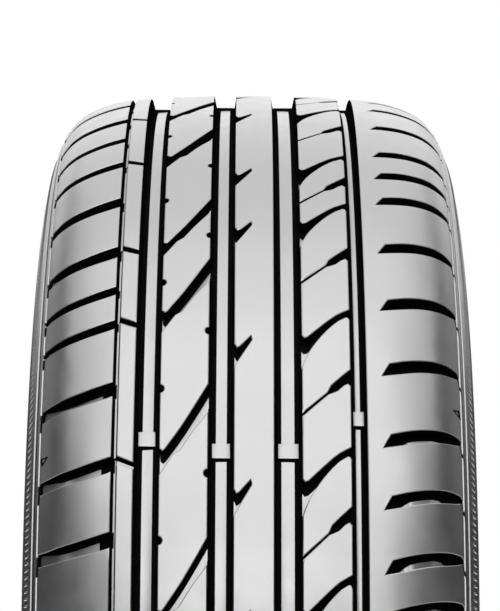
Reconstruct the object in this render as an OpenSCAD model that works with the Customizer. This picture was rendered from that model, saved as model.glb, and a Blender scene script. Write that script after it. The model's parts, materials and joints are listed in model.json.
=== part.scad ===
// Passenger car tyre with an asymmetric tread of five ribs and four grooves.
// The origin is the wheel centre. The tyre spins about Y, and Z is up.

/* [Tyre size] */
// Diameter over the middle of the tread
outer_d = 634.3; // [630:0.1:650]
// Width over the sidewalls, without lettering
section_w = 222; // [219:0.5:228]
// Diameter of the rim at the bead seats
rim_d = 436.6; // [430:0.1:440]
// Width of the rim between its flanges
rim_w = 190.5; // [186:0.5:194]

/* [Section] */
// Radius of the crown across the tread
crown_r = 880; // [700:10:1200]
// Radius of the outer tread, between the crown and the shoulder
tread_edge_r = 78; // [70:1:85]
// Radius of the shoulder
shoulder_r = 29; // [26:0.5:32]
// Radius of the buttress under the shoulder
buttress_r = 90; // [80:1:100]
// Radius of the sidewall at its widest place
bulge_r = 30; // [26:1:40]
// Thickness of the crown on the centre line
crown_t = 16.5; // [15:0.25:19]
// Thickness of the sidewall at its widest place
side_t = 7.5; // [6:0.25:9]
// Radius of the cavity under the shoulder
cavity_r = 24; // [20:0.5:26]
// Height of the two fine steps on the buttress
lip_h = 0.6; // [0.3:0.1:1]
// Width of the two fine steps
lip_w = 1.4; // [1:0.1:1.8]

/* [Bead] */
// Width of the bead across its sole
bead_w = 18.5; // [16:0.5:21]
// Radius of the heel
heel_r = 6; // [4:0.5:7]
// Chamfer of the toe
toe_c = 2; // [1:0.25:3]
// Height of the rim flange that the bead fits
flange_h = 17.5; // [16:0.5:18]
// Radius of the rim flange
flange_r = 9.5; // [8:0.5:10]
// How far the rim protector stands out of the lower sidewall
protector_h = 2; // [1:0.25:2.5]
// Width of the rim protector
protector_w = 5.5; // [4:0.25:6.5]

/* [Grooves] */
// Depth of the four grooves
groove_depth = 8; // [7:0.1:8.5]
// Draft of the groove walls, in degrees
groove_draft = 10; // [5:0.5:12]
// Radius between a groove's walls and its floor
groove_fillet = 2.5; // [1:0.1:2.6]
// Place of the first groove, from the centre line
groove_1_at = -50.05; // [-52:0.05:-48]
// Width of the first groove
groove_1_w = 12.3; // [11:0.1:13]
// Place of the second groove
groove_2_at = -14.5; // [-16:0.05:-13]
// Width of the second groove
groove_2_w = 12.4; // [11:0.1:13]
// Place of the third groove
groove_3_at = 17.7; // [16:0.05:19]
// Width of the third groove
groove_3_w = 13.5; // [12:0.1:14]
// Place of the fourth groove
groove_4_at = 51.7; // [50:0.05:53]
// Width of the fourth groove
groove_4_w = 7.7; // [7:0.1:9]
// Place of the narrow groove in the first shoulder
fine_at = -65.5; // [-67:0.05:-64.5]
// Width of the narrow groove
fine_w = 2.8; // [2:0.1:3.5]
// Depth of the narrow groove
fine_depth = 4; // [3:0.1:5]

/* [Pitch] */
// Order of the short, medium and long pitches round the tyre
pitch_order = "MLSLLMSMSMLSSMLMSLSMMLSMSLSMLSML";
// Share of a short pitch
pitch_s = 10; // [9:0.1:11]
// Share of a medium pitch
pitch_m = 13; // [12:0.1:14]
// Share of a long pitch
pitch_l = 16; // [15:0.1:17]
// Angle at which the first pitch starts
pitch_start = 71.56; // [0:0.01:360]

/* [Shoulder slots] */
// Depth of the shoulder slots in the tread
slot_depth = 6.5; // [5:0.1:7]
// Depth of a shoulder slot at its outer end
slot_end_depth = 2.5; // [1.5:0.1:4]
// Depth of the pocket at a shoulder slot's inner end
pocket_depth = 7.8; // [7:0.1:8.5]
// Length of the pockets in the first shoulder
pocket_len_a = 6.8; // [5:0.1:9]
// Length of the pockets in the second shoulder
pocket_len_b = 11; // [8:0.1:13]
// Width of the shoulder slots round the tyre
slot_w = 6.5; // [5:0.1:7.5]
// Distance of the first shoulder's slot ends from the widest place
slot_in_a = 9.8; // [9:0.1:16]
// Distance of the second shoulder's slot ends from the widest place
slot_in_b = 9.8; // [9:0.1:16]
// Plain land between the fourth groove and the second shoulder's slots
slot_land = 7.6; // [6:0.1:10]

/* [Rib cuts] */
// Depth of the cuts in the ribs
cut_depth = 6.5; // [4:0.1:7]
// Width of the diagonal cuts across the second rib
diagonal_w = 5; // [3.5:0.1:6]
// Run of a diagonal cut round the tyre
diagonal_run = 37; // [30:0.5:42]
// Radius of the round notches in the second rib's edges
notch_r = 2.4; // [1.5:0.1:3]
// Reach of the hooks into the centre rib
hook_reach = 8.4; // [6:0.1:11]
// Width of the slits across the narrow rib
slit_w = 1.3; // [0.8:0.1:2]
// Width of the bevel beside each slit
slit_bevel = 3; // [1:0.1:4]
// Width of the fine cuts in the fourth rib
sipe_w = 1.1; // [0.6:0.1:1.5]

/* [Wear bars] */
// Sets of wear bars round the tyre
wear_sets = 6; // [4:1:8]
// Height of a wear bar above the groove floor
wear_h = 1.6; // [1:0.1:2]
// Length of a wear bar round the groove
wear_len = 7.8; // [6:0.1:12]
// Angle of the first set
wear_at = 17.7; // [0:0.1:60]
// How far the first groove's bars are turned from the set's angle
wear_turn_1 = 1.2; // [-2:0.1:3]
// How far the fourth groove's bars are turned from the set's angle
wear_turn_4 = 3; // [-2:0.1:4]

/* [Hidden] */
$fn = 64;

outer_r = outer_d / 2;
half_w = section_w / 2;
rim_r = rim_d / 2;
flange_at = rim_w / 2;

// The angles at which one arc of the outer section gives way to the next
edge_a = 24;
shoulder_a = 63;
buttress_a = 78;

// Half the width of the crown arc, so that the arcs add up to the section width
crown_half = (half_w - bulge_r * (1 - sin(buttress_a))
    - buttress_r * (sin(buttress_a) - sin(shoulder_a))
    - shoulder_r * (sin(shoulder_a) - sin(edge_a))
    - tread_edge_r * sin(edge_a)) / (1 - tread_edge_r / crown_r);
crown_a = asin(crown_half / crown_r);

// Points are [w, r]: across the tyre and out from its axis
function on_arc(c, r, a) = c + r * [sin(a), cos(a)];
function next_centre(p, r, a) = p - r * [sin(a), cos(a)];

crown_c = [0, outer_r - crown_r];
edge_c = next_centre(on_arc(crown_c, crown_r, crown_a), tread_edge_r, crown_a);
shoulder_c = next_centre(on_arc(edge_c, tread_edge_r, edge_a), shoulder_r, edge_a);
buttress_c = next_centre(on_arc(shoulder_c, shoulder_r, shoulder_a), buttress_r, shoulder_a);
bulge_c = next_centre(on_arc(buttress_c, buttress_r, buttress_a), bulge_r, buttress_a);

function outer_at(a, d) =
    a <= crown_a ? on_arc(crown_c, crown_r - d, a)
    : a <= edge_a ? on_arc(edge_c, tread_edge_r - d, a)
    : a <= shoulder_a ? on_arc(shoulder_c, shoulder_r - d, a)
    : a <= buttress_a ? on_arc(buttress_c, buttress_r - d, a)
    : on_arc(bulge_c, bulge_r - d, a);

// Angles of the section's points, close together where it turns fast
tread_angles = concat(
    [for (i = [0 : 3]) crown_a * i / 3],
    [for (i = [1 : 3]) crown_a + (edge_a - crown_a) * i / 3],
    [for (i = [1 : 4]) edge_a + (shoulder_a - edge_a) * i / 4]);
side_angles = concat(
    [for (i = [1 : 3]) shoulder_a + (buttress_a - shoulder_a) * i / 3],
    [for (i = [1 : 3]) buttress_a + (90 - buttress_a) * i / 3]);

// A fine step stands out of the buttress at each of these angles
lip_angles = [61.2, 66.2];
function lip_half(a) = lip_w / 2 / (a < shoulder_a ? shoulder_r : buttress_r) * 180 / PI;
function lip(a) = let (half = lip_half(a)) [
    outer_at(a - half, 0),
    outer_at(a - half / 2, -lip_h),
    outer_at(a + half / 2, -lip_h),
    outer_at(a + half, 0)];
function clear_of_lips(a) = min([for (l = lip_angles) abs(a - l) - lip_half(l)]) > 1;

widest = outer_at(90, 0);

// Lower sidewall: one arc from the widest place to the rim protector
protector = [flange_at + 12.75, rim_r + flange_h + protector_w + 6];
function arc_radius(p, q) = ((p[0] - q[0]) ^ 2 + (p[1] - q[1]) ^ 2) / (2 * (p[0] - q[0]));
lower_r = arc_radius(widest, protector);
lower_a = asin((widest[1] - protector[1]) / lower_r);

outer_points = concat(
    [for (a = tread_angles) if (a < lip_angles[0] && clear_of_lips(a)) outer_at(a, 0)],
    lip(lip_angles[0]),
    lip(lip_angles[1]),
    [for (a = side_angles) if (a > lip_angles[1] && clear_of_lips(a)) outer_at(a, 0)],
    [for (i = [1 : 5]) [widest[0] - lower_r, widest[1]]
        + lower_r * [cos(lower_a * i / 5), -sin(lower_a * i / 5)]],
    [protector + [protector_h, -protector_h],
     protector + [protector_h, -protector_h - protector_w + 1],
     protector + [protector_h - 1, -protector_h - protector_w]],
    [for (i = [0 : 4]) [flange_at + flange_r, rim_r + flange_h - flange_r]
        + flange_r * [-sin(90 * i / 4), cos(90 * i / 4)]],
    [for (i = [0 : 4]) [flange_at - heel_r, rim_r + heel_r]
        + heel_r * [cos(90 * i / 4), -sin(90 * i / 4)]],
    [[flange_at - bead_w + toe_c, rim_r], [flange_at - bead_w, rim_r + toe_c]]);

// Inside: bead, lower sidewall, cavity shoulder and crown
inner_w = half_w - side_t;
bead_top = [flange_at - 4.5, rim_r + 22];
inner_r = arc_radius([inner_w, widest[1]], bead_top);
inner_a = asin((widest[1] - bead_top[1]) / inner_r);
cavity_a = asin((inner_w - cavity_r) / crown_r);
ceiling = outer_r - crown_t;
cavity_c = [inner_w - cavity_r,
    ceiling - crown_r * (1 - cos(cavity_a)) - cavity_r * cos(cavity_a)];

inner_points = concat(
    [[flange_at - bead_w, rim_r + 5.5], [flange_at - bead_w + 3, rim_r + 12.5]],
    [for (i = [5 : -1 : 0]) [inner_w - inner_r, widest[1]]
        + inner_r * [cos(inner_a * i / 5), -sin(inner_a * i / 5)]],
    [for (i = [0 : 6]) let (a = 90 - (90 - cavity_a) * i / 6) on_arc(cavity_c, cavity_r, a)],
    [for (i = [3 : -1 : 1]) on_arc([0, ceiling - crown_r], crown_r, cavity_a * i / 4)]);

half_section = concat(outer_points, inner_points);
section = concat(half_section,
    [for (i = [len(half_section) - 1 : -1 : 1]) [-half_section[i][0], half_section[i][1]]]);

// Grooves, each [place, width, depth, turn of its wear bars]
grooves = [
    [groove_1_at, groove_1_w, groove_depth, wear_turn_1],
    [groove_2_at, groove_2_w, groove_depth, 0],
    [groove_3_at, groove_3_w, groove_depth, 0],
    [groove_4_at, groove_4_w, groove_depth, wear_turn_4]];
function tread_r(w) = crown_c[1] + sqrt(crown_r ^ 2 - w ^ 2);
function groove_edge(i, side) = grooves[i][0] + side * grooves[i][1] / 2;
function groove_half(g, up) = g[1] / 2 - (g[2] - up) * tan(groove_draft);

over = 3;

module groove_section(g) {
    fillet = min(groove_fillet, 0.2 * g[1]);
    floor_r = tread_r(g[0]) - g[2];
    corner = groove_half(g, 0) - fillet * tan(45 - groove_draft / 2);
    side = concat(
        [for (i = [0 : 3]) let (a = -90 + (90 - groove_draft) * i / 3)
            [corner, floor_r + fillet] + fillet * [cos(a), sin(a)]],
        [[groove_half(g, g[2] + over), floor_r + g[2] + over]]);
    polygon([for (p = concat(side, [for (i = [len(side) - 1 : -1 : 0]) [-side[i][0], side[i][1]]]))
        [p[1], p[0] + g[0]]]);
}

// Its walls run on over the tread at the same slope, so that they meet it in one edge
module fine_groove_section() {
    floor_r = tread_r(fine_at) - fine_depth;
    floor_half = fine_w / 6;
    top_half = floor_half + (fine_w / 2 - floor_half) * (fine_depth + over) / fine_depth;
    polygon([
        [floor_r, fine_at - floor_half], [floor_r, fine_at + floor_half],
        [floor_r + fine_depth + over, fine_at + top_half],
        [floor_r + fine_depth + over, fine_at - top_half]]);
}

// The whole section turned about the wheel axis
module revolved() {
    rotate([-90, 0, 0]) rotate_extrude($fn = 180) children();
}

module carcass() {
    revolved() difference() {
        polygon([for (p = section) [p[1], p[0]]]);
        for (g = grooves) groove_section(g);
        fine_groove_section();
    }
}

// Each pitch starts where the one before it ends
function share(c) = c == "S" ? pitch_s : c == "M" ? pitch_m : pitch_l;
pitches = [for (c = pitch_order) share(c)];
pitch_sum = pitches * [for (p = pitches) 1];
degree = 360 / pitch_sum;
starts = [for (i = 0, a = 0; i < len(pitches); a = a + pitches[i], i = i + 1) a * degree];

// Places its children at one angle round the tyre: X is out, Y across, Z round
module at_angle(a) {
    rotate([0, -a, 0]) children();
}

// Once for each pitch, at a fixed angle from its start and a share of its length
module each_pitch(fixed, part) {
    for (i = [0 : len(pitches) - 1])
        at_angle(pitch_start - starts[i] + fixed + part * pitches[i] * degree) children();
}

// A cut with an outline across and round the tyre, down to a flat floor
module plan_cut(outline, depth) {
    translate([outer_r - depth, 0, 0]) rotate([90, 0, 90])
        linear_extrude(height = depth + over) polygon(outline);
}

// A straight cut from one place to another, with its own section [round, out]
module straight_cut(from, to, profile) {
    run = to - from;
    translate([outer_r, from[0], from[1]]) rotate([atan2(run[1], run[0]), 0, 0])
        rotate([0, -90, -90]) linear_extrude(height = norm(run)) polygon(profile);
}

slot_reach = 50;

// A shoulder slot: its outline, cut down to a pocket at its inner end, which stops at a step,
// and on to a floor that follows the shoulder and rises outwards
module shoulder_slot(outline, side, step) {
    first = crown_half - 4;
    last = outer_at(shoulder_a, 0)[0] + 6;
    step_a = asin((step - edge_c[0]) / tread_edge_r);
    floor = [
        [first, tread_r(first) - pocket_depth],
        outer_at(step_a, pocket_depth),
        outer_at(step_a + 0.5, slot_depth),
        outer_at((step_a + edge_a) / 2, slot_depth),
        outer_at(edge_a, slot_depth),
        outer_at((edge_a + shoulder_a) / 2, (slot_depth + slot_end_depth) / 2),
        outer_at(shoulder_a, slot_end_depth),
        outer_at(70, slot_end_depth),
        [last, outer_r + over],
        [first, outer_r + over]];
    intersection() {
        plan_cut(outline, slot_reach);
        translate([0, 0, -slot_reach / 2]) linear_extrude(height = slot_reach)
            polygon([for (p = floor) [p[1], side * p[0]]]);
    }
}

// First shoulder: two slots a pitch, from the narrow groove down and outwards
module first_shoulder_slots() {
    inner = fine_at;
    outer = -half_w + slot_in_a;
    middle = (inner + outer) / 2;
    outline = [
        [inner, 0.1], [middle, -4.9], [outer, -7.6],
        [outer, -7.6 - slot_w], [middle, -4.9 - slot_w], [inner, 0.1 - slot_w]];
    step = -inner + pocket_len_a;
    each_pitch(-6.8, 0) shoulder_slot(outline, -1, step);
    each_pitch(-8.4, -0.37) shoulder_slot(outline, -1, step);
}

// Second shoulder: two arched slots a pitch, with a pointed inner end
module second_shoulder_slots() {
    tip = groove_edge(3, 1) + slot_land;
    outer = half_w - slot_in_b;
    outline = [
        [tip, -8.1], [tip + 4, -1.1], [tip + 11, 1], [tip + 26, 3.9], [outer, 3.4],
        [outer, 3.4 - 0.7 * slot_w], [tip + 26, 3.9 - slot_w], [tip + 11, 1 - slot_w]];
    step = tip + pocket_len_b;
    each_pitch(9.55, 0) shoulder_slot(outline, 1, step);
    each_pitch(9.55, -0.5) shoulder_slot(outline, 1, step);
}

// Narrow rib: a slit across it with a bevelled lower side
module slits() {
    from = [fine_at - fine_w / 2 + 0.4, 1.7];
    to = [groove_edge(0, -1) + 2, -3.3];
    each_pitch(-7, 0) straight_cut(from, to, [
        [-slit_w / 2, -cut_depth + 1], [slit_w / 2, -cut_depth + 1], [slit_w / 2, over],
        [-slit_w / 2 - slit_bevel, over], [-slit_w / 2 - slit_bevel, -2.2],
        [-slit_w / 2, -3.6]]);
}

// Second rib: a diagonal cut each pitch, a little wider at its top
module diagonals() {
    left = groove_edge(0, 1) - 3;
    right = groove_edge(1, -1) + 3;
    slope = diagonal_run / (groove_edge(1, -1) - groove_edge(0, 1));
    from = [left, (left - right) / 2 * slope];
    to = [right, (right - left) / 2 * slope];
    each_pitch(-4.1, 0) straight_cut(from, to, [
        [-diagonal_w / 2 + 1, -cut_depth], [diagonal_w / 2, -cut_depth],
        [diagonal_w / 2, over], [-diagonal_w / 2 - 0.5, over]]);
}

module notch(w) {
    translate([outer_r - groove_depth + 1, w, 0]) rotate([0, 90, 0])
        cylinder(h = groove_depth + over, r = notch_r);
}

module notches() {
    each_pitch(-6.92, -0.53) notch(groove_edge(0, 1) - 0.4);
    each_pitch(-0.92, -0.535) notch(groove_edge(1, -1) + 0.4);
}

// Centre rib: a hook each pitch, open to the second groove
module hooks() {
    edge = groove_edge(1, 1);
    each_pitch(4.9, 0) plan_cut([
        [edge - 2.5, -19], [edge + 0.45 * hook_reach, -9],
        [edge + hook_reach, -2], [edge + hook_reach - 0.5, 0.4],
        [edge + 0.3 * hook_reach, -6], [edge + 0.1 * hook_reach, -6.6], [edge - 2.5, -4.5]],
        cut_depth - 1);
}

// Fourth rib: points at a share of the rib's width, from the third groove's edge
function on_rib(u, t) = [groove_edge(2, 1) + u * (groove_edge(3, -1) - groove_edge(2, 1)), t];

module curved_cuts() {
    each_pitch(6.5, 0) plan_cut([
        on_rib(-0.12, -8.6), on_rib(0.1, -8.8), on_rib(0.3, -4.4),
        on_rib(0.52, 0.7), on_rib(1.12, 10.6),
        on_rib(1.12, 1.6), on_rib(0.92, 3.6), on_rib(0.76, 1.7), on_rib(0.52, -4.2),
        on_rib(0.3, -11.4), on_rib(-0.12, -26)],
        cut_depth);
}

module fine_cuts() {
    each_pitch(5.6, -0.4) plan_cut([
        on_rib(-0.12, -13.6), on_rib(0.53, 0), on_rib(0.59, 3.4), on_rib(1.12, 14.6),
        on_rib(1.12, 3), on_rib(0.93, 4.8), on_rib(0.76, 1.8),
        on_rib(0.54, -sipe_w), on_rib(-0.12, -13.6 - 1.4 * sipe_w)],
        cut_depth);
}

module wear_bars() {
    for (k = [0 : wear_sets - 1], g = grooves) {
        half = groove_half(g, wear_h) + 1.2;
        at_angle(wear_at + g[3] + 360 / wear_sets * k)
            translate([tread_r(g[0]) - g[2] - 1, g[0] - half, -wear_len / 2])
                cube([1 + wear_h, 2 * half, wear_len]);
    }
}

module tyre() {
    color([0.11, 0.11, 0.12]) difference() {
        union() {
            carcass();
            wear_bars();
        }
        first_shoulder_slots();
        second_shoulder_slots();
        slits();
        diagonals();
        notches();
        hooks();
        curved_cuts();
        fine_cuts();
    }
}

tyre();
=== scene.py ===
import math

import bmesh
import bpy
import numpy as np
from mathutils import Euler, Matrix, Vector, geometry
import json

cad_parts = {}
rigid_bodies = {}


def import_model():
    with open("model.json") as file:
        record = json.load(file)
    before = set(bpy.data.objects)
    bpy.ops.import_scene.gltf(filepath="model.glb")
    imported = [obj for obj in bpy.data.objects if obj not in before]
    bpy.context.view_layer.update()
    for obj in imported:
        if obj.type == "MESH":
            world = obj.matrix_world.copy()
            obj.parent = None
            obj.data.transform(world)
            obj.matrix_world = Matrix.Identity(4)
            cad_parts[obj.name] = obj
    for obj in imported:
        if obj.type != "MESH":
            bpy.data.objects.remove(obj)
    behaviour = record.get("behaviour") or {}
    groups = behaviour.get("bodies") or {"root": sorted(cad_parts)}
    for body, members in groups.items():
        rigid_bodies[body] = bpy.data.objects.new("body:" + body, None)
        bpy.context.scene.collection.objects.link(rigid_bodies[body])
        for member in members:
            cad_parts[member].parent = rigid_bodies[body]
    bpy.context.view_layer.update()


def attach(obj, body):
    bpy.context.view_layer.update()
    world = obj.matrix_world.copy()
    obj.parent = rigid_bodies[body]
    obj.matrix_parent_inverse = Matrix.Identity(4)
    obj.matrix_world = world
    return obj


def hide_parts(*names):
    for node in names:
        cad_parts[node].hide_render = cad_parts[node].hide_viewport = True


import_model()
mm = 0.001

# the moulded section, in mm, the same as the solid's
section = {
    "outerRadius": 317.15,
    "halfWidth": 111.0,
    "rimRadius": 218.3,
    "flangeAt": 95.25,
    "crownRadius": 880.0,
    "edgeRadius": 78.0,
    "shoulderRadius": 29.0,
    "buttressRadius": 90.0,
    "bulgeRadius": 30.0,
    "edgeAngle": 24.0,
    "shoulderAngle": 63.0,
    "buttressAngle": 78.0,
    "protectorHeight": 2.0,
    "protectorWidth": 5.5,
    "protectorOut": 12.75,
    "protectorRise": 6.0,
    "flangeHeight": 17.5,
    "flangeRadius": 9.5,
    "heelRadius": 6.0,
    "beadWidth": 18.5,
    "toeChamfer": 2.0,
    "toeHeight": 5.5,
    "toeSlope": (3.0, 12.5),
    "beadTop": (4.5, 22.0),
    "sideThickness": 7.5,
    "crownThickness": 16.5,
    "cavityRadius": 24.0,
    "arcStep": 1.3,
}


def aimed(angle):
    return np.array([math.sin(angle), math.cos(angle)])


def outerArcs():  # each arc's centre, radius and the angles where it starts and ends
    s = section
    edge, shoulder, buttress = (math.radians(s[k]) for k in ("edgeAngle", "shoulderAngle", "buttressAngle"))
    radii = [s[k] for k in ("crownRadius", "edgeRadius", "shoulderRadius", "buttressRadius", "bulgeRadius")]
    left = s["halfWidth"] - radii[4] * (1 - math.sin(buttress))
    left -= radii[3] * (math.sin(buttress) - math.sin(shoulder))
    left -= radii[2] * (math.sin(shoulder) - math.sin(edge))
    left -= radii[1] * math.sin(edge)
    crown = math.asin(left / (1 - radii[1] / radii[0]) / radii[0])
    ends = [0.0, crown, edge, shoulder, buttress, math.pi / 2]
    centre = np.array([0.0, s["outerRadius"] - radii[0]])
    arcs = []
    for i, radius in enumerate(radii):
        if i:
            centre = centre + (radii[i - 1] - radius) * aimed(ends[i])
        arcs.append((centre, radius, ends[i], ends[i + 1]))
    return arcs


def halfLoop():  # from the crown's middle round the right half to the cavity's middle
    s = section
    points, angles = [], []
    for centre, radius, first, last in outerArcs():
        steps = max(2, math.ceil(radius * (last - first) / s["arcStep"]))
        for k in range(steps):
            a = first + (last - first) * k / steps
            points.append(centre + radius * aimed(a))
            angles.append(math.degrees(a))
    widest = np.array([s["halfWidth"], (centre + radius * aimed(math.pi / 2))[1]])
    points.append(widest)
    angles.append(90.0)
    protector = np.array([s["flangeAt"] + s["protectorOut"],
        s["rimRadius"] + s["flangeHeight"] + s["protectorWidth"] + s["protectorRise"]])
    drop = widest - protector
    lowerRadius = (drop @ drop) / (2 * drop[0])
    lowerAngle = math.asin(drop[1] / lowerRadius)
    for k in range(1, 9):
        a = lowerAngle * k / 8
        points.append(widest + lowerRadius * np.array([math.cos(a) - 1, -math.sin(a)]))
    up, wide = s["protectorHeight"], s["protectorWidth"]
    points += [protector + [up - 0.3, -up + 0.3], protector + [up, -up - 0.5]]
    points += [protector + [up, -up - wide + 1], protector + [up - 1, -up - wide]]
    flange = np.array([s["flangeAt"] + s["flangeRadius"], s["rimRadius"] + s["flangeHeight"] - s["flangeRadius"]])
    for k in range(7):
        a = math.radians(15 * k)
        points.append(flange + s["flangeRadius"] * np.array([-math.sin(a), math.cos(a)]))
    heel = np.array([s["flangeAt"] - s["heelRadius"], s["rimRadius"] + s["heelRadius"]])
    for k in range(6):
        a = math.radians(18 * k)
        points.append(heel + s["heelRadius"] * np.array([math.cos(a), -math.sin(a)]))
    toe = s["flangeAt"] - s["beadWidth"]
    points += [np.array(p) for p in (
        (toe + s["toeChamfer"], s["rimRadius"]), (toe, s["rimRadius"] + s["toeChamfer"]),
        (toe, s["rimRadius"] + s["toeHeight"]), (toe + s["toeSlope"][0], s["rimRadius"] + s["toeSlope"][1]))]
    innerWide = s["halfWidth"] - s["sideThickness"]
    beadTop = np.array([s["flangeAt"] - s["beadTop"][0], s["rimRadius"] + s["beadTop"][1]])
    rise = np.array([innerWide, widest[1]]) - beadTop
    innerRadius = (rise @ rise) / (2 * rise[0])
    innerAngle = math.asin(rise[1] / innerRadius)
    for k in range(5, -1, -1):
        a = innerAngle * k / 5
        points.append(np.array([innerWide + innerRadius * (math.cos(a) - 1), widest[1] - innerRadius * math.sin(a)]))
    cavityAngle = math.asin((innerWide - s["cavityRadius"]) / s["crownRadius"])
    ceiling = s["outerRadius"] - s["crownThickness"]
    cavity = np.array([innerWide - s["cavityRadius"],
        ceiling - s["crownRadius"] * (1 - math.cos(cavityAngle)) - s["cavityRadius"] * math.cos(cavityAngle)])
    for k in range(7):
        points.append(cavity + s["cavityRadius"] * aimed(math.pi / 2 - (math.pi / 2 - cavityAngle) * k / 6))
    for k in range(3, -1, -1):
        points.append(np.array([0.0, ceiling - s["crownRadius"]]) + s["crownRadius"] * aimed(cavityAngle * k / 4))
    return np.array(points), np.array(angles)


half, halfAngles = halfLoop()
halfAlong = np.concatenate([[0.0], np.cumsum(np.linalg.norm(np.diff(half, axis=0), axis=1))])
halfLength = halfAlong[-1]
outerCount = len(halfAngles)


def along(w):  # the way along the section from the crown's middle to a place across the tyre
    w = np.asarray(w, float)
    return np.sign(w) * np.interp(np.abs(w), half[:outerCount, 0], halfAlong[:outerCount])


def alongAngle(angle):
    return float(np.interp(angle, halfAngles, halfAlong[:outerCount]))


def angleAt(s):
    return np.interp(np.abs(s), halfAlong[:outerCount], halfAngles)


def makeCurve(name, points):
    data = bpy.data.curves.new(name, "CURVE")
    data.dimensions = "3D"
    spline = data.splines.new("POLY")
    spline.points.add(len(points) - 1)
    spline.points.foreach_set("co", [c for p in points for c in (0.0, p[0] * mm, p[1] * mm, 1.0)])
    spline.use_cyclic_u = True
    curve = bpy.data.objects.new(name, data)
    bpy.context.collection.objects.link(curve)
    return curve


leftHalf = half[::-1] * [-1, 1]
sectionCurve = makeCurve("sectionCurve", np.concatenate([leftHalf, half[1:-1]]))
print("section: loop of", round(2 * halfLength, 1), "mm")

# the tread's rules: order of the pitches, and where each tile's edge runs across the tyre
pitch = {
    "order": "MLSLLMSMSMLSSMLMSLSMMLSMSLSMLSML",
    "start": 71.56,
    "shares": {"S": 10, "M": 13, "L": 16},
    "rows": {"S": 6, "M": 8, "L": 10},
    "endAngle": 76.5,
    "wallSlope": 0.86,
    "join": 1e-5,
    "edge": [(-111, -60), (-101, -60), (-84, -54), (-66.5, -50), (-64.4, -50), (-56.2, -48.5), (-52, -44),
        (-47, -30), (-43.9, -30), (-20.7, 8), (-8.3, 35), (10.95, 35), (24.5, 33.5), (36.7, 42), (48.1, 50.5),
        (55.5, 56), (67.1, 60), (91, 63), (101, 62), (111, 62)],
}
shareSum = sum(pitch["shares"][c] for c in pitch["order"])
treadEnd = alongAngle(pitch["endAngle"])
edgeAcross = along([p[0] for p in pitch["edge"]])
edgeRound = np.array([p[1] for p in pitch["edge"]], float)


def pitchLength(kind):
    return pitch["shares"][kind] / shareSum * 2 * math.pi * section["outerRadius"]


def tileEdge(s):
    return np.interp(s, edgeAcross, edgeRound)


# long grooves: their two edges, the depth at each distance in from an edge, and how far in the painted shade goes
grooveDepth = 8
wideProfile = [(-0.4, 0), (0, 0.25), (1.05, 5.97), (1.5, 7.01), (2.7, 7.78), (3.6, grooveDepth)]
narrowProfile = [(-0.4, 0), (0, 0.25), (1.18, 6.73), (1.6, 7.5), (2.7, grooveDepth)]
grooves = [
    {"edges": (-66.9, -64.1), "profile": [(-0.35, 0), (0, 0.2), (0.95, 4)]},
    {"edges": (-56.2, -43.9), "shade": 3.6, "profile": wideProfile},
    {"edges": (-20.7, -8.3), "shade": 3.6, "profile": wideProfile},
    {"edges": (10.95, 24.45), "shade": 3.6, "profile": wideProfile},
    {"edges": (47.85, 55.55), "shade": 2.7, "profile": narrowProfile},
]

# fine steps on the buttresses: angle on the section, half width, height, with a short ramp on each side
stepRamp = 0.25
steps = [
    {"side": -1, "angle": 61.2, "half": 0.7, "height": 0.55},
    {"side": -1, "angle": 65.1, "half": 0.45, "height": -0.6},
    {"side": -1, "angle": 66.6, "half": 0.7, "height": 0.55},
    {"side": 1, "angle": 61.2, "half": 0.7, "height": 0.5},
    {"side": 1, "angle": 63.4, "half": 0.45, "height": -0.7},
    {"side": 1, "angle": 66.2, "half": 0.7, "height": 0.5},
]
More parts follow.
